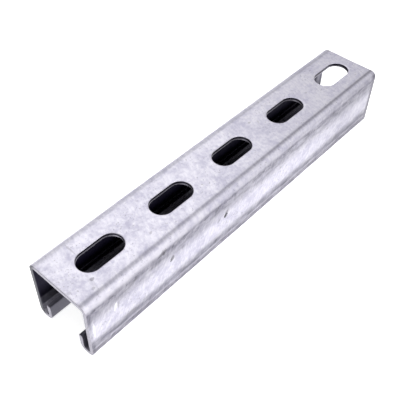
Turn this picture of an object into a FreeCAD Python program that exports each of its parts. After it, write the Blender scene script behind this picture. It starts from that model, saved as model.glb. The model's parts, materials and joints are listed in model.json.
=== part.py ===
import FreeCAD, Part
import enum
import math
import os
import Sketcher

# Slotted strut channel: one cut length of galvanised, roll-formed C-section with a slotted web.
#
# The channel lies on its lips, as it rests on a floor: its web is on top, its open side is down.
# X runs along the channel, from the near cut end at -X to the far one at +X.
# Y runs across it and Z is up. The origin is on the floor, under the middle of the channel.
# All sizes are in millimetres.

# Driving dimensions. Each is written here only, and every feature is bound to its cell.
SIZES = {
    "length": (250.0, "cut length of the piece, end to end"),
    "width": (41.3, "section, outside the two walls"),
    "height": (41.3, "section, from the underside to the top of the web"),
    "thickness": (2.5, "steel strip"),
    "bend_radius": (4.0, "outside radius of the six bends"),
    "flange": (9.5, "inturned flange, from the wall's outside to the lip's face"),
    "lip": (12.0, "lip, from the underside to its free edge"),
    "lip_edge": (0.5, "rounding of the lip's free edge"),
    "slot_length": (28.0, "punched slot, end to end"),
    "slot_width": (14.0, "punched slot, side to side"),
    "slot_pitch": (50.0, "distance between slot centres"),
    "first_slot": (28.0, "near cut end to the first slot's centre"),
    "rim_rollover": (0.5, "rounding that the punch leaves round each slot's upper rim"),
    "cut_rounding": (0.3, "rounding of the edges at both cut ends"),
}

LABEL = "strut_channel"

TOLERANCE = 1e-6


class At(enum.IntEnum):
    """The point of a sketched line or arc that a constraint holds."""

    START = 1
    END = 2
    CENTRE = 3


class Datum(enum.IntEnum):
    """The sketch's own axes. The level one starts at the origin."""

    LEVEL = -1
    UPRIGHT = -2


def make_sheet(doc):
    """Put each driving dimension in a spreadsheet, one row each, under its own name."""
    sheet = doc.addObject("Spreadsheet::Sheet", "Sizes")
    for row, (name, (value, meaning)) in enumerate(SIZES.items(), start=1):
        sheet.set(f"A{row}", name)
        sheet.set(f"B{row}", str(value))
        sheet.set(f"C{row}", meaning)
        sheet.setAlias(f"B{row}", name)
    doc.recompute()
    return sheet


def origin_feature(body, role):
    """Find one of the body's own origin planes or axes by its role."""
    return next(item for item in body.Origin.OriginFeatures if item.Role == role)


def make_sketch(body, name, role):
    """Add an empty sketch that lies on one of the body's origin planes."""
    sketch = body.newObject("Sketcher::SketchObject", name)
    sketch.AttachmentSupport = [(origin_feature(body, role), "")]
    sketch.MapMode = "FlatFace"
    return sketch


def constrain(sketch, *constraint, formula=None):
    """Add one constraint and bind its value to the sheet where it has a formula."""
    index = sketch.addConstraint(Sketcher.Constraint(*constraint))
    if formula:
        sketch.setExpression(f"Constraints[{index}]", formula)


def section_corners(sheet):
    """List the sharp corners of the section's right half as (y, z), down the wall and back up."""
    wall = sheet.width / 2
    inner_wall = wall - sheet.thickness
    lip_face = wall - sheet.flange
    lip_back = lip_face + sheet.thickness
    return [
        (wall, sheet.height),
        (wall, 0.0),
        (lip_face, 0.0),
        (lip_face, sheet.lip),
        (lip_back, sheet.lip),
        (lip_back, sheet.thickness),
        (inner_wall, sheet.thickness),
        (inner_wall, sheet.height - sheet.thickness),
    ]


def draw_section(body, sheet):
    """Sketch the C-section with sharp corners, the same to both sides of the middle plane."""
    sketch = make_sketch(body, "SectionSketch", "YZ_Plane")
    right = section_corners(sheet)
    left = [(-y, z) for y, z in reversed(right)]
    corners = [FreeCAD.Vector(y, z, 0) for y, z in right + left]
    count = len(corners)
    inner_web = len(right) - 1
    sides = [(side, (side + 1) % count) for side in range(count)]
    for side, after in sides:
        sketch.addGeometry(Part.LineSegment(corners[side], corners[after]), False)
    for side, after in sides:
        constrain(sketch, "Coincident", side, At.END, after, At.START)
    # Side 0 is the right wall, so the sides are upright and level by turns. The web's inside
    # is level because its two ends are mirrored below.
    for side, _ in sides:
        if side != inner_web:
            constrain(sketch, "Horizontal" if side % 2 else "Vertical", side)
    for corner in range(1, len(right), 2):
        twin = count - 1 - corner
        constrain(sketch, "Symmetric", corner, At.START, twin, At.START, Datum.UPRIGHT)
    constrain(sketch, "PointOnObject", 1, At.START, Datum.LEVEL)
    wall, height, strip = sheet.width / 2, sheet.height, sheet.thickness
    for formula, kind, first, first_end, second, second_end, value in (
        ("Sizes.width / 2", "DistanceX", Datum.LEVEL, At.START, 0, At.START, wall),
        ("Sizes.height", "DistanceY", Datum.LEVEL, At.START, 0, At.START, height),
        ("Sizes.flange", "DistanceX", 1, At.END, 1, At.START, sheet.flange),
        ("Sizes.lip", "DistanceY", 2, At.START, 2, At.END, sheet.lip),
        ("Sizes.thickness", "DistanceX", 3, At.START, 3, At.END, strip),
        ("Sizes.thickness", "DistanceY", 1, At.END, 5, At.START, strip),
        ("Sizes.thickness", "DistanceX", 5, At.END, 1, At.START, strip),
        ("Sizes.thickness", "DistanceY", 6, At.END, 0, At.START, strip),
    ):
        constrain(sketch, kind, first, first_end, second, second_end, value, formula=formula)
    return sketch


def roll_section(body, section):
    """Run the section out along X, half of the length to each side of the origin."""
    pad = body.newObject("PartDesign::Pad", "RolledSection")
    pad.Profile = section
    pad.Midplane = True
    pad.setExpression("Length", "Sizes.length")
    return pad


def edges_where(feature, test):
    """Name the edges of a feature whose points all pass the test."""
    names = []
    for number, edge in enumerate(feature.Shape.Edges, start=1):
        points = [vertex.Point for vertex in edge.Vertexes] + [edge.CenterOfMass]
        if all(test(point) for point in points):
            names.append(f"Edge{number}")
    return names


def round_edges(body, name, feature, edges, formula):
    """Add a fillet of the sheet's radius on the named edges of a feature."""
    fillet = body.newObject("PartDesign::Fillet", name)
    fillet.Base = (feature, edges)
    fillet.setExpression("Radius", formula)
    body.Document.recompute()
    return fillet


def long_edges(feature, places):
    """Name the edges that run along X at the given (y, z) places and their mirror images."""
    def at_a_place(point):
        return any(
            abs(abs(point.y) - y) < TOLERANCE and abs(point.z - z) < TOLERANCE
            for y, z in places
        )
    return edges_where(feature, at_a_place)


def bend_section(body, sheet, rolled):
    """Round the six bends, outside and inside about one centre, and the lips' free edges."""
    corners = section_corners(sheet)
    outside = corners[0:3]
    free_edge = corners[3:5]
    inside = corners[5:8]
    bends = round_edges(
        body, "BendsOutside", rolled, long_edges(rolled, outside), "Sizes.bend_radius"
    )
    bends = round_edges(
        body, "BendsInside", bends, long_edges(bends, inside),
        "Sizes.bend_radius - Sizes.thickness",
    )
    return round_edges(body, "LipEdges", bends, long_edges(bends, free_edge), "Sizes.lip_edge")


def draw_slot(body, sheet):
    """Sketch the first slot, counted from the near end, on the web's upper face."""
    sketch = make_sketch(body, "SlotSketch", "XY_Plane")
    sketch.setExpression("AttachmentOffset.Base.z", "Sizes.height")
    radius = sheet.slot_width / 2
    reach = (sheet.slot_length - sheet.slot_width) / 2
    middle = sheet.first_slot - sheet.length / 2
    right_angle = math.pi / 2
    up = FreeCAD.Vector(0, 0, 1)
    side = FreeCAD.Vector(0, radius, 0)
    near_centre = FreeCAD.Vector(middle - reach, 0, 0)
    far_centre = FreeCAD.Vector(middle + reach, 0, 0)
    near_round = Part.Circle(near_centre, up, radius)
    far_round = Part.Circle(far_centre, up, radius)
    # In this order: 0 near end, 1 far end, 2 side at -Y, 3 side at +Y.
    sketch.addGeometry(Part.ArcOfCircle(near_round, right_angle, -right_angle), False)
    sketch.addGeometry(Part.ArcOfCircle(far_round, -right_angle, right_angle), False)
    sketch.addGeometry(Part.LineSegment(near_centre - side, far_centre - side), False)
    sketch.addGeometry(Part.LineSegment(far_centre + side, near_centre + side), False)
    constrain(sketch, "Tangent", 0, At.END, 2, At.START)
    constrain(sketch, "Tangent", 2, At.END, 1, At.START)
    constrain(sketch, "Tangent", 1, At.END, 3, At.START)
    constrain(sketch, "Tangent", 3, At.END, 0, At.START)
    constrain(sketch, "PointOnObject", 0, At.CENTRE, Datum.LEVEL)
    constrain(sketch, "PointOnObject", 1, At.CENTRE, Datum.LEVEL)
    constrain(sketch, "Radius", 0, radius, formula="Sizes.slot_width / 2")
    constrain(
        sketch, "DistanceX", 0, At.CENTRE, 1, At.CENTRE, 2 * reach,
        formula="Sizes.slot_length - Sizes.slot_width",
    )
    constrain(
        sketch, "DistanceX", 0, At.CENTRE, Datum.LEVEL, At.START, reach - middle,
        formula="(Sizes.slot_length - Sizes.slot_width + Sizes.length) / 2 - Sizes.first_slot",
    )
    return sketch


# As many slots as fit, with a bend's radius of whole web left beyond the last one.
SLOT_COUNT = (
    "floor((Sizes.length - Sizes.first_slot - Sizes.slot_length / 2 - Sizes.bend_radius)"
    " / Sizes.slot_pitch) + 1"
)


def punch_slots(body, sheet):
    """Punch the first slot down through the web and repeat it along the channel."""
    unpunched = body.Shape.Volume
    punch = body.newObject("PartDesign::Pocket", "PunchedSlot")
    punch.Profile = draw_slot(body, sheet)
    punch.setExpression("Length", "2 * Sizes.thickness")
    body.Document.recompute()
    if body.Shape.Volume >= unpunched:
        raise RuntimeError("the punch cut nothing")
    row = body.newObject("PartDesign::LinearPattern", "SlotRow")
    row.Originals = [punch]
    row.Direction = (origin_feature(body, "X_Axis"), [""])
    row.Mode = "Spacing"
    row.setExpression("Offset", "Sizes.slot_pitch")
    row.setExpression("Occurrences", SLOT_COUNT)
    body.Tip = row
    body.Document.recompute()
    return row


def round_rims(body, sheet, slotted):
    """Round each slot's upper rim and all the edges of the two cut ends."""
    def on_a_rim(point):
        within = abs(point.y) < sheet.slot_width / 2 + TOLERANCE
        return within and abs(point.z - sheet.height) < TOLERANCE

    def on_a_cut(point):
        return abs(abs(point.x) - sheet.length / 2) < TOLERANCE

    rims = round_edges(
        body, "RimRollover", slotted, edges_where(slotted, on_a_rim), "Sizes.rim_rollover"
    )
    return round_edges(body, "CutEnds", rims, edges_where(rims, on_a_cut), "Sizes.cut_rounding")


def check(doc, body):
    """Stop before anything is written if a feature failed or the channel isn't one sound solid."""
    for item in doc.Objects:
        if "Invalid" in item.State or "Error" in item.State:
            raise RuntimeError(f"{item.Name} failed: {item.State}")
    shape = body.Shape
    if shape.isNull() or not shape.isValid() or len(shape.Solids) != 1:
        raise RuntimeError(f"{body.Label} is not one sound solid")


def main():
    """Build the channel and write it to parts/."""
    doc = FreeCAD.newDocument("StrutChannel")
    sheet = make_sheet(doc)
    body = doc.addObject("PartDesign::Body", "StrutChannel")
    body.Label = LABEL
    body.Placement = FreeCAD.Placement()
    rolled = roll_section(body, draw_section(body, sheet))
    doc.recompute()
    bend_section(body, sheet, rolled)
    round_rims(body, sheet, punch_slots(body, sheet))
    doc.recompute()
    check(doc, body)
    os.makedirs("parts", exist_ok=True)
    body.Shape.exportStep(f"parts/{body.Label}.step")
    print(f"{body.Label}: {body.Shape.Volume:.0f} mm3 of steel")


main()
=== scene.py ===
"""Slotted strut channel: a cut length of galvanised, roll-formed C-section, lying on its lips.

The channel is modelled as it is made. A flat strip with a row of punched slots is bent down
along both sides into walls, turned in to flanges and up to lips, and then given its thickness,
its rounded rims and the slight waves that rolling leaves in it. X runs along the channel, from
the near cut end at -X, Y runs across it and Z is up. All lengths are in metres.
"""

from __future__ import annotations

import json
import logging
import math
from dataclasses import dataclass, field
from enum import Enum
from typing import Callable, Iterable

import bmesh
import bpy
from mathutils import Matrix, Vector

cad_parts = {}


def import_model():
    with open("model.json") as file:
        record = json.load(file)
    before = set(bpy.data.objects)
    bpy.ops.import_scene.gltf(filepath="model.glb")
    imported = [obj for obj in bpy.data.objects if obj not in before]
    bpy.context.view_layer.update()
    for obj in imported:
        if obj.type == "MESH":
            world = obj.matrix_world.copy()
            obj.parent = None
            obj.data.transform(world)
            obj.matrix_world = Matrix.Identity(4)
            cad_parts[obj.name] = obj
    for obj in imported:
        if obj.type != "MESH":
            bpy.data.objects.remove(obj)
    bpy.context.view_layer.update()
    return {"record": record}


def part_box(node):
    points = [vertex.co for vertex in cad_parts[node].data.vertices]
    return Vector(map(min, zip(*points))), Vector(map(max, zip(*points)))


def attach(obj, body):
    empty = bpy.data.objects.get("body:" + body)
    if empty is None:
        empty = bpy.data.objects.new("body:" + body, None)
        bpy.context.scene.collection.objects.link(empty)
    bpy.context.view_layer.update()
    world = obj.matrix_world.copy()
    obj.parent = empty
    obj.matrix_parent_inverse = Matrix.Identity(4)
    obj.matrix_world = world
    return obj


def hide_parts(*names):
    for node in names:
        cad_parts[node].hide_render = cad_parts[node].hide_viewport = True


log = logging.getLogger("strut_channel")

MM = 0.001
CAD_NODE = "strut_channel"

Colour = tuple[float, float, float, float]


class Select(Enum):
    """What a selection picks out."""

    VERTICES = "VERT"
    EDGES = "EDGE"
    FACES = "FACE"


@dataclass
class Workpiece:
    """A mesh object under the modeller's hands, always in edit mode between the calls.

    Args:
        name: the name of the object and its mesh.
    """

    name: str
    body: bpy.types.Object = field(init=False)

    def start_grid(self, columns: int, rows: int, size: Vector, place: Vector) -> None:
        """Start from a flat grid of a given size.

        Args:
            columns: faces along X.
            rows: faces along Y.
            size: the grid's length and width.
            place: the grid's middle.
        """
        bpy.ops.object.select_all(action="DESELECT")
        bpy.ops.mesh.primitive_grid_add(
            x_subdivisions=columns, y_subdivisions=rows, size=1.0, enter_editmode=True
        )
        self.body = bpy.context.object
        self.body.name = self.body.data.name = self.name
        bpy.ops.transform.resize(value=(size.x, size.y, 1.0))
        bpy.ops.transform.translate(value=place)

    def pick(self, kind: Select, wanted: Callable[..., bool]) -> int:
        """Select the parts of the mesh that pass a test, and nothing else.

        Args:
            kind: vertices, edges or faces.
            wanted: the test, given one bmesh element.

        Returns:
            How many parts are selected.
        """
        bpy.ops.mesh.select_mode(type=kind.value)
        mesh = bmesh.from_edit_mesh(self.body.data)
        parts = {Select.VERTICES: mesh.verts, Select.EDGES: mesh.edges, Select.FACES: mesh.faces}
        for part in (*mesh.faces, *mesh.edges, *mesh.verts):
            part.select = False
        chosen = [part for part in parts[kind] if wanted(part)]
        for part in chosen:
            part.select_set(True)
        mesh.select_flush_mode()
        bmesh.update_edit_mesh(self.body.data)
        return len(chosen)

    def draw_out(self, move: Vector, steps: int) -> None:
        """Extrude the selected edges along a straight line in equal steps."""
        for _ in range(steps):
            bpy.ops.mesh.extrude_region_move(TRANSFORM_OT_translate={"value": move / steps})

    def finish_modifier(self, kind: str, **settings: object) -> None:
        """Add a modifier and apply it.

        Args:
            kind: the modifier's type.
            settings: its values by name.
        """
        bpy.ops.object.mode_set(mode="OBJECT")
        modifier = self.body.modifiers.new(kind.title(), kind)
        for name, value in settings.items():
            setattr(modifier, name, value)
        bpy.ops.object.modifier_apply(modifier=modifier.name)
        bpy.ops.object.mode_set(mode="EDIT")

    def close(self) -> bpy.types.Object:
        """Leave edit mode and hand over the finished object."""
        bpy.ops.object.mode_set(mode="OBJECT")
        return self.body


@dataclass(frozen=True)
class Section:
    """The rolled C-section.

    Args:
        width: outside the walls.
        height: from the underside to the top of the web.
        thickness: of the strip.
        bend_radius: outside radius of every bend.
        flange: inturned flange, from the wall's outside to the lip's face.
        lip: from the underside to the lip's free edge.
    """

    width: float
    height: float
    thickness: float = 2.5 * MM
    bend_radius: float = 4.0 * MM
    flange: float = 9.5 * MM
    lip: float = 12.0 * MM

    @property
    def middle_radius(self) -> float:
        """Bend radius of the strip's middle surface."""
        return self.bend_radius - self.thickness / 2

    @property
    def flat_web(self) -> float:
        """Half of the web's flat width."""
        return self.width / 2 - self.bend_radius

    @property
    def flat_wall(self) -> float:
        """Flat height of a wall, between its bends."""
        return self.height - 2 * self.bend_radius

    @property
    def flat_flange(self) -> float:
        """Flat width of a flange, between its bends."""
        return self.flange - 2 * self.bend_radius

    @property
    def flat_lip(self) -> float:
        """Flat height of a lip, above its bend."""
        return self.lip - self.bend_radius

    @property
    def bend_length(self) -> float:
        """How far it is round a bend, in the strip's middle surface."""
        return self.middle_radius * math.pi / 2

    @property
    def wall_start(self) -> float:
        """Where a wall begins, by distance round the strip from the web's middle."""
        return self.flat_web + self.bend_length

    @property
    def wall_end(self) -> float:
        """Where a wall ends and the lower bend begins, by the same distance."""
        return self.wall_start + self.flat_wall

    @property
    def flange_start(self) -> float:
        """Where a flange begins, by the same distance."""
        return self.wall_end + self.bend_length

    @property
    def flange_end(self) -> float:
        """Where a flange ends and the lip's bend begins, by the same distance."""
        return self.flange_start + self.flat_flange


@dataclass(frozen=True)
class SlotRow:
    """The punched slots.

    Args:
        length: of a slot, end to end.
        width: of a slot.
        pitch: between slot centres.
        first: X of the first slot's centre.
        count: how many slots there are.
    """

    length: float
    width: float
    pitch: float
    first: float
    count: int

    @classmethod
    def from_record(cls, record: dict) -> SlotRow:
        """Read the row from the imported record's pairs of neighbouring slots.

        Args:
            record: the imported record.

        Returns:
            The row of slots.
        """
        pairs = [m for m in record["mounts"] if m["kind"] == "bolt_pattern"]
        sizes = pairs[0]["dims"]
        pitch = sizes["spacing_x_mm"] * MM
        first = min(pair["pos_m"][0] for pair in pairs) - pitch / 2
        return cls(
            length=sizes["slot_length_mm"] * MM,
            width=2 * sizes["hole_r_mm"] * MM,
            pitch=pitch,
            first=first,
            count=len(pairs) + 1,
        )


@dataclass
class StrutChannel:
    """The whole channel, one piece of steel.

    Args:
        section: its section.
        slots: its row of slots.
        near_end: X of the near cut.
        far_end: X of the far cut.
        cell: size of the mesh's faces on the flats.
        bend_steps: faces round each bend.
        slot_segments: segments of a slot's two round ends together.
        rim_rounding: radius of the slots' upper rims.
        lip_rounding: radius of the lips' free edges.
        cut_rounding: radius of the cut ends' edges.
        wave: depth of the waves that rolling leaves in the strip.
        wave_size: length of those waves.
        wave_contrast: how far they swing between their highs and lows.
        touch: how near two points are to count as one, or as on a plane.
        sharp_angle: from how many degrees an edge is sharp enough to be rounded.
        smooth_angle: up to how many degrees an edge is shaded smooth.
    """

    section: Section
    slots: SlotRow
    near_end: float
    far_end: float
    cell: float = 1.56 * MM
    bend_steps: int = 8
    slot_segments: int = 48
    rim_rounding: float = 0.5 * MM
    lip_rounding: float = 0.5 * MM
    cut_rounding: float = 0.3 * MM
    wave: float = 0.10 * MM
    wave_size: float = 22.0 * MM
    wave_contrast: float = 0.8
    touch: float = 0.01 * MM
    sharp_angle: float = 60.0
    smooth_angle: float = 35.0

    def build(self) -> bpy.types.Object:
        """Model the channel.

        Returns:
            The finished object, without its finish.
        """
        piece = Workpiece("galvanised_channel")
        self.punch_one_pitch(piece)
        self.repeat_pitch(piece)
        for side in (1, -1):
            self.roll_side(piece, side)
        piece.finish_modifier(
            "SOLIDIFY", thickness=self.section.thickness, offset=0.0, use_even_offset=True
        )
        self.round_edges(piece)
        body = piece.close()
        self.mark_surfaces(body)
        self.wave_surface(body)
        bpy.ops.object.shade_smooth_by_angle(angle=math.radians(self.smooth_angle))
        return body

    def punch_one_pitch(self, piece: Workpiece) -> None:
        """Make one pitch of the web's middle surface, with the slot open in its middle.

        Args:
            piece: the web, not yet started.
        """
        slots, section = self.slots, self.section
        columns = 2 * round(slots.pitch / 2 / self.cell)
        rows = 2 * round(section.flat_web / self.cell)
        step_x, step_y = slots.pitch / columns, 2 * section.flat_web / rows
        level = section.height - section.thickness / 2
        centre = Vector((slots.first, 0.0, level))
        piece.start_grid(columns, rows, Vector((slots.pitch, 2 * section.flat_web)), centre)
        # The window is a ring of whole faces wider than the slot all round.
        window_columns = 2 * math.ceil((slots.length / 2 + 2 * step_x) / step_x)
        window_rows = 2 * math.ceil((slots.width / 2 + 2 * step_y) / step_y)
        half_x, half_y = window_columns * step_x / 2, window_rows * step_y / 2

        def in_window(face: bmesh.types.BMFace) -> bool:
            """Tell whether a face is in the window."""
            spot = face.calc_center_median() - centre
            return abs(spot.x) < half_x and abs(spot.y) < half_y

        piece.pick(Select.FACES, in_window)
        bpy.ops.mesh.delete(type="FACE")
        self.draw_slot(piece, centre, 2 * (window_columns + window_rows))

        def on_slot_or_window(edge: bmesh.types.BMEdge) -> bool:
            """Tell whether an edge is on the slot's outline or the window's."""
            spots = [v.co - centre for v in edge.verts]
            return len(edge.link_faces) < 2 and all(
                abs(s.x) < half_x + self.touch and abs(s.y) < half_y + self.touch for s in spots
            )

        piece.pick(Select.EDGES, on_slot_or_window)
        bpy.ops.mesh.bridge_edge_loops(number_cuts=2, interpolation="LINEAR")
        bpy.ops.mesh.select_all(action="SELECT")
        bpy.ops.transform.resize(value=(1.0, 1.0, 0.0), center_override=centre)

    def draw_slot(self, piece: Workpiece, centre: Vector, window_points: int) -> None:
        """Draw the slot's outline, with as many points as the window round it has.

        Args:
            piece: the web.
            centre: the slot's middle.
            window_points: points round the window.
        """
        slots = self.slots
        reach = (slots.length - slots.width) / 2
        half_step = math.pi / self.slot_segments
        bpy.ops.mesh.select_all(action="DESELECT")
        # The outline is drawn above the web, so that the bridge to it can't turn over.
        bpy.ops.mesh.primitive_circle_add(
            vertices=self.slot_segments,
            radius=slots.width / 2,
            fill_type="NOTHING",
            location=centre + Vector((0.0, 0.0, slots.width)),
            rotation=(0.0, 0.0, half_step),
        )

        def on_outline(vert: bmesh.types.BMVert) -> bool:
            """Tell whether a point is on the outline, which has no faces yet."""
            return not vert.link_faces

        for side in (1, -1):
            piece.pick(
                Select.VERTICES, lambda v: on_outline(v) and side * (v.co.x - centre.x) > 0
            )
            bpy.ops.transform.translate(value=(side * reach, 0.0, 0.0))
        piece.pick(
            Select.EDGES,
            lambda e: all(on_outline(v) for v in e.verts) and e.calc_length() > reach,
        )
        cuts = (window_points - self.slot_segments) // 2
        bpy.ops.mesh.subdivide(number_cuts=cuts)

    def repeat_pitch(self, piece: Workpiece) -> None:
        """Repeat the pitch along the web and bring both ends to their cuts.

        Args:
            piece: one pitch of the web.
        """
        slots = self.slots
        piece.finish_modifier(
            "ARRAY",
            count=slots.count,
            use_relative_offset=False,
            use_constant_offset=True,
            constant_offset_displace=(slots.pitch, 0.0, 0.0),
            use_merge_vertices=True,
            merge_threshold=self.touch,
        )
        start = slots.first - slots.pitch / 2
        piece.pick(Select.VERTICES, lambda v: abs(v.co.x - start) < self.touch)
        steps = max(1, round((start - self.near_end) / self.cell))
        piece.draw_out(Vector((self.near_end - start, 0.0, 0.0)), steps)
        piece.pick(
            Select.FACES, lambda f: f.calc_center_median().x > self.far_end - self.cell / 2
        )
        bpy.ops.mesh.delete(type="FACE")
        mesh = bmesh.from_edit_mesh(piece.body.data)
        last = max(v.co.x for v in mesh.verts)
        piece.pick(Select.VERTICES, lambda v: abs(v.co.x - last) < self.touch)
        bpy.ops.transform.translate(value=(self.far_end - last, 0.0, 0.0))

    def roll_side(self, piece: Workpiece, side: int) -> None:
        """Bend one side of the strip down to its wall, in to its flange and up to its lip.

        Args:
            piece: the strip.
            side: 1 for the side at +Y and -1 for the one at -Y.
        """
        section = self.section
        level = section.height - section.thickness / 2
        edge = Vector((0.0, side * section.flat_web, level))
        heading = Vector((0.0, side * 1.0, 0.0))
        inward = Vector((0.0, 0.0, -1.0))
        flats = (section.flat_wall, section.flat_flange, section.flat_lip)
        for flat in flats:
            centre = edge + inward * section.middle_radius
            self.pick_row(piece, edge)
            bpy.ops.mesh.spin(
                steps=self.bend_steps,
                angle=side * math.pi / 2,
                center=centre,
                axis=(1.0, 0.0, 0.0),
            )
            edge = centre + heading * section.middle_radius
            heading, inward = inward, -heading
            self.pick_row(piece, edge)
            piece.draw_out(heading * flat, max(1, round(flat / self.cell)))
            edge = edge + heading * flat
        bpy.ops.mesh.select_all(action="SELECT")
        bpy.ops.mesh.remove_doubles(threshold=self.touch)

    def pick_row(self, piece: Workpiece, place: Vector) -> None:
        """Select the row of points that runs along X through a place.

        Args:
            piece: the strip.
            place: the place, whose X doesn't matter.
        """
        found = piece.pick(
            Select.VERTICES,
            lambda v: abs(v.co.y - place.y) < self.touch and abs(v.co.z - place.z) < self.touch,
        )
        log.info("row at y %.2f z %.2f mm: %d points", place.y / MM, place.z / MM, found)

    def round_edges(self, piece: Workpiece) -> None:
        """Round the slots' upper rims, the lips' free edges and the edges of both cuts.

        Args:
            piece: the thickened channel.
        """
        section, touch = self.section, self.touch
        half_slot = self.slots.width / 2 + touch
        least = math.radians(self.sharp_angle)

        def sharp(edge: bmesh.types.BMEdge) -> bool:
            """Tell whether an edge is sharp."""
            return edge.is_manifold and edge.calc_face_angle(0.0) > least

        def on_rim(edge: bmesh.types.BMEdge) -> bool:
            """Tell whether an edge is on a slot's upper rim."""
            return sharp(edge) and all(
                v.co.z > section.height - touch and abs(v.co.y) < half_slot for v in edge.verts
            )

        def on_lip(edge: bmesh.types.BMEdge) -> bool:
            """Tell whether an edge is on a lip's free edge."""
            return sharp(edge) and all(abs(v.co.z - section.lip) < touch for v in edge.verts)

        def on_cut(edge: bmesh.types.BMEdge) -> bool:
            """Tell whether an edge is round a cut."""
            ends = (self.near_end, self.far_end)
            return sharp(edge) and any(
                all(abs(v.co.x - end) < touch for v in edge.verts) for end in ends
            )

        for test, radius, segments in (
            (on_rim, self.rim_rounding, 3),
            (on_lip, self.lip_rounding, 3),
            (on_cut, self.cut_rounding, 2),
        ):
            found = piece.pick(Select.EDGES, test)
            log.info("rounding %d edges to %.1f mm", found, radius / MM)
            bpy.ops.mesh.bevel(
                offset=radius, offset_type="OFFSET", segments=segments, affect="EDGES"
            )

    def mark_surfaces(self, body: bpy.types.Object) -> None:
        """Note on each point how far across the flat strip it is, and whether it is inside.

        Args:
            body: the channel.
        """
        mesh = body.data
        across = mesh.attributes.new("across", "FLOAT", "POINT")
        inside = mesh.attributes.new("inside", "FLOAT", "POINT")
        for number, vert in enumerate(mesh.vertices):
            distance, depth = self.unroll(vert.co)
            across.data[number].value = math.copysign(distance, vert.co.y) / MM
            inside.data[number].value = 1.0 if depth > 0.0 else 0.0

    def unroll(self, spot: Vector) -> tuple[float, float]:
        """Find a point's place on the flat strip.

        Args:
            spot: the point.

        Returns:
            Its distance round the strip from the web's middle, and its depth below the
            strip's middle surface.
        """
        section = self.section
        y, z = abs(spot.y), spot.z
        place = Vector((y, z))
        half_strip = section.thickness / 2
        lip_face = section.width / 2 - section.flange
        upper_centre = Vector((section.flat_web, section.height - section.bend_radius))
        lower_centre = Vector((section.flat_web, section.bend_radius))
        lip_centre = Vector((lip_face + section.bend_radius, section.bend_radius))
        if y < lip_centre.x and z < section.lip + self.touch:
            if z > section.bend_radius:
                lip_start = section.flange_end + section.bend_length
                return lip_start + (z - section.bend_radius), (y - lip_face) - half_strip
            out = place - lip_centre
            return self.unroll_bend(out, section.flange_end, math.atan2(-out.x, -out.y))
        if y > section.flat_web and z > upper_centre.y:
            out = place - upper_centre
            return self.unroll_bend(out, section.flat_web, math.atan2(out.x, out.y))
        if y > section.flat_web and z < lower_centre.y:
            out = place - lower_centre
            return self.unroll_bend(out, section.wall_end, math.atan2(-out.y, out.x))
        if z < section.bend_radius:
            return section.flange_start + (lower_centre.x - y), z - half_strip
        if y > section.flat_web:
            depth = (section.width / 2 - y) - half_strip
            return section.wall_start + (upper_centre.y - z), depth
        return y, (section.height - z) - half_strip

    def unroll_bend(self, out: Vector, start: float, angle: float) -> tuple[float, float]:
        """Find a point's place on a bend, as unroll gives it.

        Args:
            out: the point, seen from the bend's centre.
            start: where the bend begins on the flat strip.
            angle: how far round the bend the point is.

        Returns:
            Its distance round the strip, and its depth below the middle surface.
        """
        radius = self.section.middle_radius
        return start + radius * angle, radius - out.length

    def wave_surface(self, body: bpy.types.Object) -> None:
        """Press shallow waves into the faces, as rolling leaves them, inwards only.

        Args:
            body: the channel.
        """
        clouds = bpy.data.textures.new("rolling_waves", "CLOUDS")
        clouds.noise_scale = self.wave_size
        clouds.noise_depth = 1
        clouds.contrast = self.wave_contrast
        modifier = body.modifiers.new("Waves", "DISPLACE")
        modifier.texture = clouds
        modifier.texture_coords = "LOCAL"
        modifier.mid_level = 1.0
        modifier.strength = self.wave
        bpy.ops.object.modifier_apply(modifier=modifier.name)


class Signal:
    """A number that changes over a surface, written as Python maths.

    Args:
        graph: the material's nodes.
        socket: the output socket that carries the number.
    """

    def __init__(self, graph: Graph, socket: bpy.types.NodeSocket) -> None:
        """Keep the socket and the graph that it is in."""
        self.graph = graph
        self.socket = socket

    def _math(self, operation: str, first: object, second: object = None) -> Signal:
        """Add a Math node with one or two inputs.

        Args:
            operation: what it works out.
            first: its first input.
            second: its second input, if it has one.

        Returns:
            Its result.
        """
        sockets = {0: first} if second is None else {0: first, 1: second}
        node = self.graph.add("ShaderNodeMath", {"operation": operation}, sockets)
        return Signal(self.graph, node.outputs[0])

    def __add__(self, other: object) -> Signal:
        """Add."""
        return self._math("ADD", self, other)

    __radd__ = __add__

    def __sub__(self, other: object) -> Signal:
        """Take away."""
        return self._math("SUBTRACT", self, other)

    def __rsub__(self, other: object) -> Signal:
        """Take this away from a number."""
        return self._math("SUBTRACT", other, self)

    def __mul__(self, other: object) -> Signal:
        """Multiply."""
        return self._math("MULTIPLY", self, other)

    __rmul__ = __mul__

    def __truediv__(self, other: object) -> Signal:
        """Divide."""
        return self._math("DIVIDE", self, other)

    def __rtruediv__(self, other: object) -> Signal:
        """Divide a number by this."""
        return self._math("DIVIDE", other, self)

    def __pow__(self, other: object) -> Signal:
        """Raise to a power."""
        return self._math("POWER", self, other)

    def __rpow__(self, other: object) -> Signal:
        """Raise a number to this power."""
        return self._math("POWER", other, self)

    def size(self) -> Signal:
        """Drop the sign."""
        return self._math("ABSOLUTE", self)

    def ramp(self, low: float, high: float) -> Signal:
        """Rise smoothly from 0 at low to 1 at high, or fall where high is the lower."""
        node = self.graph.add(
            "ShaderNodeMapRange",
            {"interpolation_type": "SMOOTHSTEP"},
            {0: self, 1: low, 2: high, 3: 0.0, 4: 1.0},
        )
        return Signal(self.graph, node.outputs[0])

    def band(self, start: float, full: float, fading: float, end: float) -> Signal:
        """Rise from 0 at start to 1 at full, stay there, and fall from fading to 0 at end."""
        return self.ramp(start, full) * self.ramp(end, fading)

    def line(self, place: float, width: float) -> Signal:
        """Peak at 1 where the number is at a place and fall to 0 a width away."""
        return (self - place).size().ramp(width, 0.0)


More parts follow.
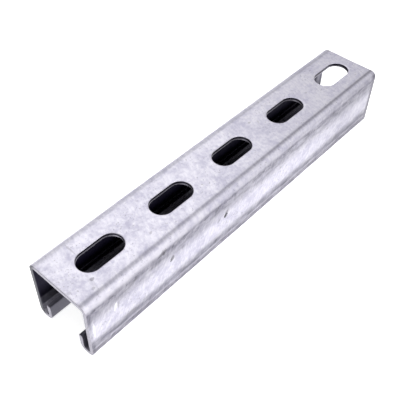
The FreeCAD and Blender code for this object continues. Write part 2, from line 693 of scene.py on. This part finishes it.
class Graph:
    """The nodes of one material or of the world.

    Args:
        tree: the node tree, which is emptied first.
    """

    def __init__(self, tree: bpy.types.NodeTree) -> None:
        """Take the tree and empty it."""
        self.tree = tree
        self.tree.nodes.clear()

    @classmethod
    def of_material(cls, name: str) -> tuple[Graph, bpy.types.Material]:
        """Start a new material.

        Args:
            name: the material's name.

        Returns:
            Its nodes and the material.
        """
        material = bpy.data.materials.new(name)
        material.use_nodes = True
        return cls(material.node_tree), material

    def add(self, kind: str, settings: dict, sockets: dict) -> bpy.types.Node:
        """Add one node.

        Args:
            kind: the node's type.
            settings: its properties, which are set first.
            sockets: values or links by the socket's name or number.

        Returns:
            The node.
        """
        node = self.tree.nodes.new(kind)
        for name, value in settings.items():
            setattr(node, name, value)
        for key, value in sockets.items():
            target = node.inputs[key]
            if isinstance(value, Signal):
                value = value.socket
            if isinstance(value, bpy.types.NodeSocket):
                self.tree.links.new(value, target)
            else:
                target.default_value = value
        return node

    def spots(self, stretch: tuple[float, float, float] = (1.0, 1.0, 1.0)) -> bpy.types.NodeSocket:
        """Give object coordinates in millimetres.

        Args:
            stretch: what they are divided by along each axis.

        Returns:
            The coordinates.
        """
        here = self.add("ShaderNodeTexCoord", {}, {})
        scale = tuple(1.0 / (MM * s) for s in stretch)
        mapping = self.add("ShaderNodeMapping", {}, {0: here.outputs["Object"], 3: scale})
        return mapping.outputs[0]

    def noise(self, place: bpy.types.NodeSocket, size: float, **values: float) -> Signal:
        """Add noise.

        Args:
            place: the coordinates that it follows, in millimetres.
            size: of its features, in millimetres.
            values: its detail and roughness, where they aren't the usual ones.

        Returns:
            The noise, from 0 to 1.
        """
        sockets = {"Vector": place, "Scale": 1.0 / size, "Detail": 2.0, "Roughness": 0.5}
        sockets.update({name.title(): value for name, value in values.items()})
        node = self.add("ShaderNodeTexNoise", {"normalize": True}, sockets)
        return Signal(self, node.outputs[0])

    def cells(self, place: bpy.types.NodeSocket, size: float, output: str) -> Signal:
        """Add a Voronoi pattern with cells of a size in millimetres."""
        node = self.add("ShaderNodeTexVoronoi", {}, {"Vector": place, "Scale": 1.0 / size})
        return Signal(self, node.outputs[output])

    def on_strip(self, turn: float, stretch: float) -> bpy.types.NodeSocket:
        """Give places on the flat strip in millimetres, for patterns that run one way.

        Args:
            turn: the way they run, in degrees from X.
            stretch: how many times longer than wide they are.

        Returns:
            The places, shortened along that way.
        """
        cos, sin = math.cos(math.radians(turn)), math.sin(math.radians(turn))
        x, y = self.axes()[0], self.attribute("across")
        parts = {0: (x * cos + y * sin) / stretch, 1: y * cos - x * sin}
        return self.add("ShaderNodeCombineXYZ", {}, parts).outputs[0]

    def attribute(self, name: str) -> Signal:
        """Read a number kept on the mesh's points."""
        node = self.add("ShaderNodeAttribute", {"attribute_name": name}, {})
        return Signal(self, node.outputs["Fac"])

    def axes(self) -> tuple[Signal, Signal, Signal]:
        """Give object X, Y and Z in millimetres."""
        node = self.add("ShaderNodeSeparateXYZ", {}, {0: self.spots()})
        return tuple(Signal(self, output) for output in node.outputs)

    def blend(self, share: Signal, first: object, second: object) -> bpy.types.NodeSocket:
        """Mix two colours by a share that changes over the surface."""
        node = self.add(
            "ShaderNodeMix", {"data_type": "RGBA"}, {0: share, 6: first, 7: second}
        )
        return node.outputs[2]

    def grain(self, strength: float, depth: float, height: Signal) -> bpy.types.NodeSocket:
        """Give the normals of a fine grain of some depth in metres."""
        sockets = {"Strength": strength, "Distance": depth, "Height": height}
        return self.add("ShaderNodeBump", {}, sockets).outputs[0]

    def finish(self, sockets: dict) -> None:
        """Close a material with its surface.

        Args:
            sockets: values or links of the surface's sockets.
        """
        surface = self.add("ShaderNodeBsdfPrincipled", {}, sockets)
        self.add("ShaderNodeOutputMaterial", {}, {0: surface.outputs[0]})


def colour(red: float, green: float, blue: float) -> Colour:
    """Give an opaque colour."""
    return (red, green, blue, 1.0)


@dataclass(frozen=True)
class StripLine:
    """A narrow line along the strip, with sizes in millimetres.

    Args:
        place: its middle, round the strip from the edge of the bend that it follows.
        width: from its middle to where it ends.
        strength: in its middle.
    """

    place: float
    width: float
    strength: float

    def draw(self, round_strip: Signal, edge: float) -> Signal:
        """Give its strength on each spot, where the edge of its bend is at a given place."""
        return round_strip.line(edge + self.place, self.width) * self.strength


@dataclass(frozen=True)
class PaintedBendShade:
    """Painted shade and dark reflections along the strip, with sizes in millimetres.

    A band's four numbers are where it starts, is full, begins to fade and ends.

    Args:
        section: the channel's section.
        far_end: X of the far cut, as far from the middle as the near one.
        shoulder_shade: the painted dark band below the upper bend, from the wall's top.
        shoulder_shade_strength: how dark it is.
        foot: the painted dark band above the lower bend, from the wall's foot.
        foot_shade_strength: how dark it is.
        foot_gap: the lighter line in it.
        patches: how wide the bands' patches are, and how many times longer.
        tangents: the painted dark lines where the web turns into the bend, from the web's edge.
        late_tangent: what they gain towards the far end.
        late_crease: the painted dark line round the bend that comes up there, from the wall's top.
        late: from where to where along X these two come up.
        speck_shape: how wide the dark specks are, and how many times longer.
        upper_specks: where they lie along the wall's top.
        lower_specks: where they lie along the wall's foot.
        left_share: how strong the painted shade is on the left side, next to the right.
        near: the painted dark line at the near cut, from where it ends to where it is full.
        near_cut_shade_strength: how dark it is.
        far_shade: from where to where along X painted shade darkens the web's side and the wall.
        far_shade_strength: how dark they grow.
        end: the painted dark line at the far cut, from where it begins to where it is full.
        far_cut_shade_strength: how dark it is.
    """

    section: Section
    far_end: float
    shoulder_shade: tuple[float, float, float, float] = (-1.9, 0.3, 2.6, 15.0)
    shoulder_shade_strength: float = 0.74
    foot: tuple[float, float, float, float] = (-12.0, -5.8, -0.4, 3.0)
    foot_shade_strength: float = 0.82
    foot_gap: StripLine = StripLine(-3.4, 1.2, 0.40)
    patches: tuple[float, float] = (2.6, 3.5)
    tangents: tuple[StripLine, ...] = (StripLine(-0.2, 1.5, 0.46), StripLine(-0.8, 3.0, 0.14))
    late_tangent: StripLine = StripLine(-0.2, 1.5, 0.18)
    late_crease: StripLine = StripLine(-1.6, 0.9, 0.22)
    late: tuple[float, float] = (-100.0, 100.0)
    speck_shape: tuple[float, float] = (1.6, 1.8)
    upper_specks: StripLine = StripLine(1.6, 2.2, 0.45)
    lower_specks: StripLine = StripLine(-0.8, 2.4, 1.0)
    left_share: float = 0.50
    near: tuple[float, float] = (2.6, 1.4)
    near_cut_shade_strength: float = 0.34
    far_shade: tuple[float, float] = (45.0, 100.0)
    far_shade_strength: float = 0.32
    end: tuple[float, float] = (4.6, 2.2)
    far_cut_shade_strength: float = 0.80

    @property
    def web_edge(self) -> float:
        """Where the upper bend begins, by distance round the strip from the web's middle."""
        return self.section.flat_web / MM

    @property
    def wall_top(self) -> float:
        """Where the wall begins, by the same distance."""
        return self.section.wall_start / MM

    @property
    def wall_foot(self) -> float:
        """Where the wall ends and the lower bend begins, by the same distance."""
        return self.section.wall_end / MM

    def painted_shade_share(self, g: Graph) -> Signal:
        """Give how much painted shade each spot takes.

        Args:
            g: the material's nodes.

        Returns:
            0 where none is painted, towards 1 in the middle of a painted band or line.
        """
        round_strip = g.attribute("across").size()
        along, sideways, _ = g.axes()
        # Each term paints shade or a dark reflection into the zinc's colour.
        shade_sum = self.wide_shade_bands(g, round_strip) + self.edge_specks(g, round_strip)
        for line in self.tangents:
            shade_sum = shade_sum + line.draw(round_strip, self.web_edge)
        late = self.late_tangent.draw(round_strip, self.web_edge)
        late = late + self.late_crease.draw(round_strip, self.wall_top)
        shade_sum = shade_sum + late * along.ramp(*self.late)
        shade_sum = shade_sum * (self.left_share + (1.0 - self.left_share) * sideways.ramp(6.0, -6.0))
        # A painted dark line along the near cut's edge.
        near = along.ramp(*(depth - self.far_end for depth in self.near))
        near = near * round_strip.ramp(self.wall_top - 1.0, self.wall_top + 1.0)
        shade_sum = shade_sum + self.near_cut_shade_strength * near
        # Painted shade that grows towards the far end.
        far_shade = along.ramp(*self.far_shade) * round_strip.ramp(self.web_edge - 1.0, self.wall_top)
        shade_sum = shade_sum + self.far_shade_strength * far_shade * (1.0 - 0.7 * shade_sum)
        # A painted dark line along the far cut's edge.
        end = along.ramp(*(self.far_end - depth for depth in self.end))
        return shade_sum + self.far_cut_shade_strength * end * round_strip.ramp(self.web_edge, self.wall_top)

    def wide_shade_bands(self, g: Graph, round_strip: Signal) -> Signal:
        """Give how dark the two wide, patchy bands of painted shade on a wall are.

        Args:
            g: the material's nodes.
            round_strip: distance round the strip from the web's middle.

        Returns:
            How much painted shade they put on each spot.
        """
        shoulder_shade = round_strip.band(*(self.wall_top + place for place in self.shoulder_shade))
        foot = round_strip.band(*(self.wall_foot + place for place in self.foot))
        foot = foot * (1.0 - self.foot_gap.draw(round_strip, self.wall_foot))
        width, stretch = self.patches
        patchy = g.noise(g.spots((stretch, 1.0, 1.0)), width, detail=4.0).ramp(0.25, 0.75)
        uneven = 0.68 + 0.62 * patchy
        return (self.shoulder_shade_strength * shoulder_shade + self.foot_shade_strength * foot) * uneven

    def edge_specks(self, g: Graph, round_strip: Signal) -> Signal:
        """Give how dark the specks along both edges of a wall are.

        Args:
            g: the material's nodes.
            round_strip: distance round the strip from the web's middle.

        Returns:
            How dark they make each spot.
        """
        width, stretch = self.speck_shape
        specks = g.noise(g.spots((stretch, 1.0, 1.0)), width, detail=3.0).ramp(0.54, 0.66)
        upper = self.upper_specks.draw(round_strip, self.wall_top)
        return specks * (upper + self.lower_specks.draw(round_strip, self.wall_foot))


@dataclass(frozen=True)
class Blemish:
    """A nick, a smear or a scratch in the zinc, with sizes in millimetres.

    Args:
        along: its place along X.
        across: its place across the flat strip from the web's middle, to -Y where negative.
        length: how long it is.
        width: how wide it is.
        turn: its direction in degrees, 0 along X.
        strength: how much of the zinc's own colour it hides.
        raggedness: how far its outline strays, as a share of its size.
        core: how large its even middle is, as a share of its size.
    """

    along: float
    across: float
    length: float
    width: float
    turn: float = 0.0
    strength: float = 0.5
    raggedness: float = 1.1
    core: float = 0.55

    def cover(self, g: Graph) -> Signal:
        """Give how strongly each spot is marked.

        Args:
            g: the material's nodes.

        Returns:
            0 outside the mark, up to its strength in the middle.
        """
        x = g.axes()[0] - self.along
        y = g.attribute("across") - self.across
        cos, sin = math.cos(math.radians(self.turn)), math.sin(math.radians(self.turn))
        long_way = (x * cos + y * sin) / (self.length / 2)
        short_way = (y * cos - x * sin) / (self.width / 2)
        ragged = (g.noise(g.spots(), 1.0, detail=3.0) - 0.5) * self.raggedness
        reach = (long_way * long_way + short_way * short_way) ** 0.5 + ragged
        return reach.ramp(1.0, self.core) * self.strength


@dataclass(frozen=True)
class Zinc:
    """Cloudy hot-dip zinc on the rolled faces, with sizes in millimetres.

    Places across the strip are measured round it from the web's middle.

    Args:
        bend_shade: the painted shade bands and lines along the bends.
        bright: the clean zinc.
        cloud: its duller clouds.
        crown: the painted highlight round the upper bends.
        painted_shade: the colour of that painted shade.
        lighter_painted_shade: the lighter flecks in that painted shade.
        speck: the dark specks in it.
        pit: the dark bottom of the deepest nicks.
        lip: the painted shade on the lips.
        inside_shade: the painted shade inside the channel, near black.
        fresh: the bright zinc where it is scraped.
        fleck_turn: the way its streaky flecks run, in degrees from X.
        fleck_stretch: how many times longer than wide they are.
        crown_line: where the painted highlight runs, and how wide it is to each side.
        crown_rise: from where to where along X the painted highlight grows brighter.
        soft_bend: where the bend's softer gloss starts, is full, fades and ends.
        mouth: from where to where along X painted light from the near opening comes in.
        far_end_light: from where to where along X painted light lifts the inside's shade at the
            far end.
        inner_reflection: where a painted reflection runs as a paler line inside the left wall, and
            how wide.
        low_light: where painted light makes a wall's inside paler.
        roughness: of the clean zinc.
        dark_marks: its dark blemishes.
        pits: the bottoms of the deepest nicks.
        pale_marks: its pale blemishes.
    """

    bend_shade: PaintedBendShade
    bright: Colour = colour(0.825, 0.805, 0.893)
    cloud: Colour = colour(0.58, 0.563, 0.696)
    crown: Colour = colour(0.935, 0.91, 1.0)
    painted_shade: Colour = colour(0.145, 0.139, 0.178)
    lighter_painted_shade: Colour = colour(0.23, 0.221, 0.28)
    speck: Colour = colour(0.20, 0.19, 0.22)
    pit: Colour = colour(0.03, 0.03, 0.045)
    lip: Colour = colour(0.15, 0.146, 0.186)
    inside_shade: Colour = colour(0.014, 0.011, 0.034)
    fresh: Colour = colour(0.975, 0.965, 0.99)
    fleck_turn: float = 68.0
    fleck_stretch: float = 3.5
    crown_line: tuple[float, float] = (19.6, 2.6)
    crown_rise: tuple[float, float] = (-30.0, -95.0)
    soft_bend: tuple[float, float, float, float] = (16.4, 17.6, 21.2, 23.0)
    mouth: tuple[float, float] = (-104.0, -119.0)
    far_end_light: tuple[float, float] = (115.0, 126.0)
    inner_reflection: tuple[float, float] = (46.4, 1.3)
    low_light: float = 49.5
    roughness: float = 0.34
    dark_marks: tuple[Blemish, ...] = (
        Blemish(-110.6, -9.3, 3.2, 2.2, strength=0.60),
        Blemish(-113.6, -13.7, 2.6, 1.8, strength=0.35),
        Blemish(-112.0, -11.5, 14.0, 3.0, turn=80.0, strength=0.14),
        Blemish(-123.0, -7.6, 2.6, 2.4, strength=0.25),
        Blemish(-106.0, 12.0, 10.0, 1.3, turn=88.0, strength=0.32),
        Blemish(-71.5, -9.3, 3.0, 1.8, turn=30.0, strength=0.35),
        Blemish(28.8, 8.4, 2.6, 1.8, strength=0.40),
        Blemish(33.0, 5.0, 3.6, 1.4, turn=60.0, strength=0.25),
        Blemish(75.7, 0.8, 2.6, 1.6, strength=0.30),
        Blemish(-67.9, -31.4, 4.6, 3.4, turn=60.0, strength=0.90),
        Blemish(-74.3, -21.5, 7.0, 3.4, turn=15.0, strength=0.80),
        Blemish(-82.0, -25.0, 5.0, 2.2, turn=60.0, strength=0.40),
        Blemish(-60.0, -29.0, 3.0, 1.6, turn=60.0, strength=0.45),
        Blemish(-105.6, -32.0, 7.0, 1.3, turn=80.0, strength=0.40),
        Blemish(-98.2, -47.0, 12.0, 3.4, strength=0.50),
        Blemish(-119.0, -53.0, 11.0, 2.6, turn=-4.0, strength=0.50),
        Blemish(-106.3, -22.0, 8.0, 2.8, strength=0.35),
        Blemish(-95.2, -24.1, 8.0, 3.0, strength=0.35),
        Blemish(-25.0, -31.4, 6.4, 2.8, turn=60.0, strength=0.80),
        Blemish(-31.1, -33.0, 4.0, 2.0, turn=40.0, strength=0.35),
        Blemish(24.1, -31.7, 2.0, 2.0, strength=0.60),
        Blemish(88.5, -21.5, 4.0, 1.8, strength=0.40),
        Blemish(72.5, -31.8, 3.0, 2.0, strength=0.45),
    )
    pits: tuple[Blemish, ...] = (
        Blemish(-25.7, -33.0, 4.4, 3.4, turn=60.0, strength=0.95),
        Blemish(-73.6, -22.0, 2.8, 2.4, strength=0.60),
        Blemish(-68.6, -32.4, 2.4, 1.8, turn=60.0, strength=0.50),
    )
    pale_marks: tuple[Blemish, ...] = (
        Blemish(-107.6, -32.0, 8.5, 2.0, turn=76.0, strength=0.80),
        Blemish(-121.8, -36.0, 15.0, 1.8, turn=88.0, strength=0.75),
        Blemish(85.5, -20.0, 4.0, 1.4, turn=20.0, strength=0.22),
    )

    def make(self) -> bpy.types.Material:
        """Make the material.

        Returns:
            The material.
        """
        g, material = Graph.of_material("cloudy_zinc")
        place = g.spots()
        clouds = g.noise(place, 9.0, detail=4.0, roughness=0.6)
        fine = g.noise(place, 2.4, detail=4.0, roughness=0.65)
        mottle = (clouds * 0.5 + fine * 0.5).ramp(0.32, 0.62)
        inside = g.attribute("inside")
        low, clean = self.painted_inner_light(g)
        base = self.marked(g, self.flecked(g, mottle))
        # Painted shade: the inside is laid near black, lifted where painted light reaches it.
        base = g.blend(inside * (1.0 - clean), base, self.inside_shade)
        bend = g.attribute("across").size().band(*self.soft_bend)
        spangle = g.cells(place, 2.6, "Distance")
        g.finish(
            {
                "Base Color": base,
                "Metallic": (0.6 + 0.4 * inside) * (1.0 - inside * low),
                "Roughness": self.roughness + 0.12 * (1.0 - mottle) + 0.1 * inside + 0.16 * bend,
                "Normal": g.grain(0.25, 0.05 * MM, fine * 0.7 + spangle * 0.2),
            }
        )
        return material

    def flecked(self, g: Graph, mottle: Signal) -> bpy.types.NodeSocket:
        """Give the zinc's colour with its clouds, flecks, painted highlight and painted shade.

        Args:
            g: the material's nodes.
            mottle: 0 in a cloud, 1 on bright zinc.

        Returns:
            The colour.
        """
        round_strip = g.attribute("across").size()
        base = g.blend(mottle, self.cloud, self.bright)
        place = g.on_strip(self.fleck_turn, self.fleck_stretch)
        flecks = g.noise(place, 1.3, detail=4.0, roughness=0.6)
        on_wall = round_strip.ramp(18.0, 22.0) * 0.4 + 0.6
        base = g.blend(flecks.ramp(0.56, 0.36) * on_wall * 0.55, base, self.cloud)
        base = g.blend(flecks.ramp(0.56, 0.70) * on_wall * 0.45, base, self.fresh)
        # A painted highlight along the upper bends, strongest near the near end.
        early = 0.14 + 0.72 * g.axes()[0].ramp(*self.crown_rise)
        crown = round_strip.line(*self.crown_line) * early
        base = g.blend(crown * (0.72 + 0.28 * mottle), base, self.crown)
        # Painted shade colour, flecked lighter, laid on where the bend shade is painted.
        flecked_shade = g.blend(flecks.ramp(0.34, 0.66), self.painted_shade, self.lighter_painted_shade)
        return g.blend(self.bend_shade.painted_shade_share(g), base, flecked_shade)

    def marked(self, g: Graph, base: bpy.types.NodeSocket) -> bpy.types.NodeSocket:
        """Put the specks, the blemishes and the painted shade of the lips on the zinc.

        Args:
            g: the material's nodes.
            base: the zinc's colour.

        Returns:
            The colour with them.
        """
        place = g.spots()
        specks = g.noise(place, 1.0, detail=1.0).ramp(0.62, 0.75)
        groups = g.noise(place, 14.0).ramp(0.38, 0.60)
        base = g.blend(specks * groups * 0.5, base, self.speck)
        for blemishes, shade in (
            (self.dark_marks, self.speck),
            (self.pits, self.pit),
            (self.pale_marks, self.fresh),
        ):
            for blemish in blemishes:
                base = g.blend(blemish.cover(g), base, shade)
        # Painted shade on the lips.
        start = self.bend_shade.section.flange_end / MM
        lip = g.attribute("across").size().ramp(start - 1.5, start + 1.5)
        return g.blend(lip * 0.95, base, self.lip)

    def painted_inner_light(self, g: Graph) -> tuple[Signal, Signal]:
        """Tell where painted light makes the inside paler.

        Args:
            g: the material's nodes.

        Returns:
            How pale painted light makes the walls' feet, and how far it lifts the inside's shade.
        """
        along, _, height = g.axes()
        across = g.attribute("across")
        mouth = along.ramp(*self.mouth)
        foot = self.low_light
        # Painted light on the walls' feet inside, and near the near opening.
        low = across.ramp(foot, foot + 2.5) + 0.3 * across.ramp(-foot, -foot - 2.5)
        low = low + 0.36 * mouth * across.ramp(foot - 6.0, foot - 4.0)
        low = low + 0.40 * mouth * across.ramp(-foot - 6.0, -foot - 9.0)
        # Painted light at the far end, and a painted reflection as a paler line inside the left
        # wall.
        far_end_light = along.ramp(*self.far_end_light) * height.ramp(6.0, 22.0)
        inner_reflection = across.line(*self.inner_reflection) * (1.0 - mouth) * 0.7
        return low, 0.9 * far_end_light + 0.9 * low + inner_reflection + 0.03 * mouth


@dataclass(frozen=True)
class CutSteel:
    """Sheared steel on the cut ends, with the zinc drawn over it.

    Args:
        burnished: the smooth part of the shear.
        torn: the torn part.
        left_end_dark: the darker steel of the left wall's ends.
    """

    burnished: Colour = colour(0.56, 0.54, 0.62)
    torn: Colour = colour(0.36, 0.35, 0.40)
    left_end_dark: Colour = colour(0.11, 0.11, 0.13)

    def make(self) -> bpy.types.Material:
        """Make the material.

        Returns:
            The material.
        """
        g, material = Graph.of_material("sheared_edge")
        place = g.spots((0.6, 0.6, 3.0))
        streaks = g.noise(place, 0.6, detail=3.0).ramp(0.3, 0.7)
        base = g.blend(streaks, self.torn, self.burnished)
        on_left = g.axes()[1].ramp(15.0, 18.5)
        base = g.blend(on_left * 0.92, base, self.left_end_dark)
        g.finish(
            {
                "Base Color": base,
                "Metallic": 0.8,
                "Roughness": 0.45 + 0.1 * streaks,
                "Normal": g.grain(0.3, 0.05 * MM, streaks),
            }
        )
        return material


@dataclass(frozen=True)
class PunchedEdge:
    """Slot walls: near-black painted shade on torn steel, a lighter burnished line at the bottom.

    Args:
        underside: height of the web's underside.
        torn: the dark part, near black as painted shade.
        burnished: the lighter line.
    """

    underside: float
    torn: Colour = colour(0.042, 0.038, 0.062)
    burnished: Colour = colour(0.52, 0.50, 0.58)

    def make(self) -> bpy.types.Material:
        """Make the material.

        Returns:
            The material.
        """
        g, material = Graph.of_material("punched_edge")
        height = g.axes()[2] - self.underside / MM
        streaks = g.noise(g.spots((0.7, 0.7, 4.0)), 0.7, detail=2.0)
        line = height.ramp(1.2, 0.5) * (0.6 + 0.8 * streaks)
        # The slot walls' near-black colour is painted shade.
        base = g.blend(line, self.torn, self.burnished)
        g.finish({"Base Color": base, "Metallic": 0.7, "Roughness": 0.4 + 0.15 * streaks})
        return material


class Finish(Enum):
    """The channel's finishes, by material slot."""

    ROLLED = 0
    CUT = 1
    PUNCHED = 2


@dataclass(frozen=True)
class Dressing:
    """Puts the finishes on the channel's faces.

    Args:
        channel: the channel's sizes.
        facing: from which part of its normal along an axis a face looks along it.
        slot_margin: how far past a slot's side its wall may reach.
    """

    channel: StrutChannel
    facing: float = 0.3
    slot_margin: float = 0.1 * MM

    def dress(self, body: bpy.types.Object) -> None:
        """Give the rolled faces zinc and the sheared faces bare steel.

        Args:
            body: the channel.
        """
        mesh = body.data
        section = self.channel.section
        mesh.materials.append(Zinc(PaintedBendShade(section, self.channel.far_end / MM)).make())
        mesh.materials.append(CutSteel().make())
        mesh.materials.append(PunchedEdge(section.height - section.thickness).make())
        for face in mesh.polygons:
            face.material_index = self.finish_of(face).value

    def finish_of(self, face: bpy.types.MeshPolygon) -> Finish:
        """Tell which finish a face has.

        Args:
            face: a face of the channel.

        Returns:
            Its finish.
        """
        channel = self.channel
        ends = (channel.near_end, channel.far_end)
        at_end = min(abs(face.center.x - end) for end in ends) < channel.cut_rounding
        if at_end and abs(face.normal.x) > self.facing:
            return Finish.CUT
        in_web = face.center.z > channel.section.height - channel.section.thickness
        in_slot = abs(face.center.y) < channel.slots.width / 2 + self.slot_margin
        if in_web and in_slot and abs(face.normal.z) < self.facing:
            return Finish.PUNCHED
        return Finish.ROLLED


@dataclass(frozen=True)
class View:
    """The photograph's camera, looking down on the near end and the right wall.

    Args:
        azimuth: turn about Z in degrees, 0 looking along +Y.
        elevation: height above the horizon in degrees.
        roll: turn about its own axis in degrees.
        aim: the spot in the middle of the picture.
        distance: from that spot.
        lens: focal length in millimetres.
        sensor: width of the sensor in millimetres.
        clip: the nearest and farthest that it sees.
    """

    azimuth: float = -49.09
    elevation: float = 46.95
    roll: float = 1.52
    aim: Vector = field(default_factory=lambda: Vector((-22.95, 0.65, 20.0)) * MM)
    distance: float = 368.5 * MM
    lens: float = 57.98
    sensor: float = 36.0
    clip: tuple[float, float] = (0.01, 20.0)

    def place(self) -> None:
        """Make the camera and look through it."""
        turn = (
            Matrix.Rotation(math.radians(self.azimuth), 4, "Z")
            @ Matrix.Rotation(math.radians(90.0 - self.elevation), 4, "X")
            @ Matrix.Rotation(math.radians(self.roll), 4, "Z")
        )
        lens = bpy.data.cameras.new("camera")
        lens.lens, lens.sensor_width = self.lens, self.sensor
        lens.clip_start, lens.clip_end = self.clip
        camera = bpy.data.objects.new("camera", lens)
        bpy.context.scene.collection.objects.link(camera)
        back = turn @ Vector((0.0, 0.0, 1.0))
        camera.matrix_world = Matrix.Translation(self.aim + back * self.distance) @ turn
        bpy.context.scene.camera = camera


@dataclass(frozen=True)
class SoftBox:
    """A large soft lamp.

    Args:
        name: the lamp's name.
        place: where it hangs.
        size: its width and height.
        power: in watts.
    """

    name: str
    place: tuple[float, float, float]
    size: tuple[float, float]
    power: float

    def hang(self, target: Vector) -> None:
        """Hang the lamp.

        Args:
            target: the spot that it faces.
        """
        lamp = bpy.data.lights.new(self.name, "AREA")
        lamp.shape = "RECTANGLE"
        lamp.size, lamp.size_y = self.size
        lamp.energy = self.power
        body = bpy.data.objects.new(self.name, lamp)
        bpy.context.scene.collection.objects.link(body)
        body.location = self.place
        facing = target - Vector(self.place)
        body.rotation_mode = "QUATERNION"
        body.rotation_quaternion = facing.to_track_quat("-Z", "Y")


@dataclass(frozen=True)
class Studio:
    """A plain pale floor, soft lamps and a pale room.

    Args:
        floor_size: side of the floor.
        floor_shade: how much of its light the floor gives back.
        floor_glow: light that the floor adds to its picture, and to its reflection.
        zenith: brightness of the room overhead.
        horizon: brightness of the room at eye level.
        full_height: how high in the room it has reached its brightness overhead, from 0 to 1.
        lamp_aim: height of the spot over the middle of the floor that the lamps face.
        lamps: the soft lamps.
    """

    floor_size: float = 30.0
    floor_shade: float = 0.9
    floor_glow: float = 0.78
    zenith: float = 0.60
    horizon: float = 0.46
    full_height: float = 0.9
    lamp_aim: float = 20.0 * MM
    lamps: tuple[SoftBox, ...] = (
        SoftBox("back_softbox", (0.40, 0.66, 1.05), (0.9, 0.8), 2.3),
        SoftBox("front_softbox", (0.20, -0.66, 0.92), (0.45, 1.0), 3.4),
        SoftBox("side_softbox", (-0.10, -0.95, 0.45), (0.9, 0.5), 0.8),
    )

    def set_up(self) -> None:
        """Lay the floor, hang the lamps and light the room."""
        self.lay_floor()
        for lamp in self.lamps:
            lamp.hang(Vector((0.0, 0.0, self.lamp_aim)))
        self.light_room()
        bpy.context.scene.view_settings.view_transform = "Standard"

    def lay_floor(self) -> None:
        """Lay the floor under the channel."""
        bpy.ops.object.select_all(action="DESELECT")
        bpy.ops.mesh.primitive_plane_add(size=self.floor_size)
        floor = bpy.context.object
        floor.name = "floor"
        g, material = Graph.of_material("white_floor")
        shade = colour(self.floor_shade, self.floor_shade, self.floor_shade)
        diffuse = g.add("ShaderNodeBsdfDiffuse", {}, {"Color": shade})
        light = {"Color": colour(1, 1, 1), "Strength": self.seen_by_picture(g) * self.floor_glow}
        glow = g.add("ShaderNodeEmission", {}, light)
        both = g.add("ShaderNodeAddShader", {}, {0: diffuse.outputs[0], 1: glow.outputs[0]})
        g.add("ShaderNodeOutputMaterial", {}, {0: both.outputs[0]})
        floor.data.materials.append(material)

    @staticmethod
    def seen_by_picture(g: Graph) -> Signal:
        """Tell which rays make the picture, straight or by way of gloss and glass.

        Args:
            g: the nodes of the material.

        Returns:
            1 for those rays, else 0.
        """
        path = g.add("ShaderNodeLightPath", {}, {})
        names = ("Is Camera Ray", "Is Glossy Ray", "Is Transmission Ray")
        rays = [Signal(g, path.outputs[name]) for name in names]
        return rays[0] + rays[1] + rays[2]

    def light_room(self) -> None:
        """Fill the room with pale light that is a little dimmer near the horizon."""
        world = bpy.data.worlds.new("pale_room")
        bpy.context.scene.world = world
        world.use_nodes = True
        g = Graph(world.node_tree)
        way = g.add("ShaderNodeTexCoord", {}, {})
        parts = g.add("ShaderNodeSeparateXYZ", {}, {0: way.outputs["Generated"]})
        height = Signal(g, parts.outputs["Z"])
        rise = height.ramp(0.0, self.full_height)
        level = self.horizon + (self.zenith - self.horizon) * rise
        room = g.add("ShaderNodeBackground", {}, {"Color": colour(1, 1, 1), "Strength": level})
        g.add("ShaderNodeOutputWorld", {}, {0: room.outputs[0]})


def main() -> None:
    """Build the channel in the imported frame, dress it, and set up the studio."""
    logging.basicConfig(level=logging.INFO, format="%(name)s: %(message)s")
    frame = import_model()
    low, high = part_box(CAD_NODE)
    section = Section(width=high.y - low.y, height=high.z - low.z)
    channel = StrutChannel(section, SlotRow.from_record(frame["record"]), low.x, high.x)
    body = channel.build()
    Dressing(channel).dress(body)
    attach(body, "root")
    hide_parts(CAD_NODE)
    log.info("%s: %d faces", body.name, len(body.data.polygons))
    View().place()
    Studio().set_up()


if __name__ == "__main__":
    main()
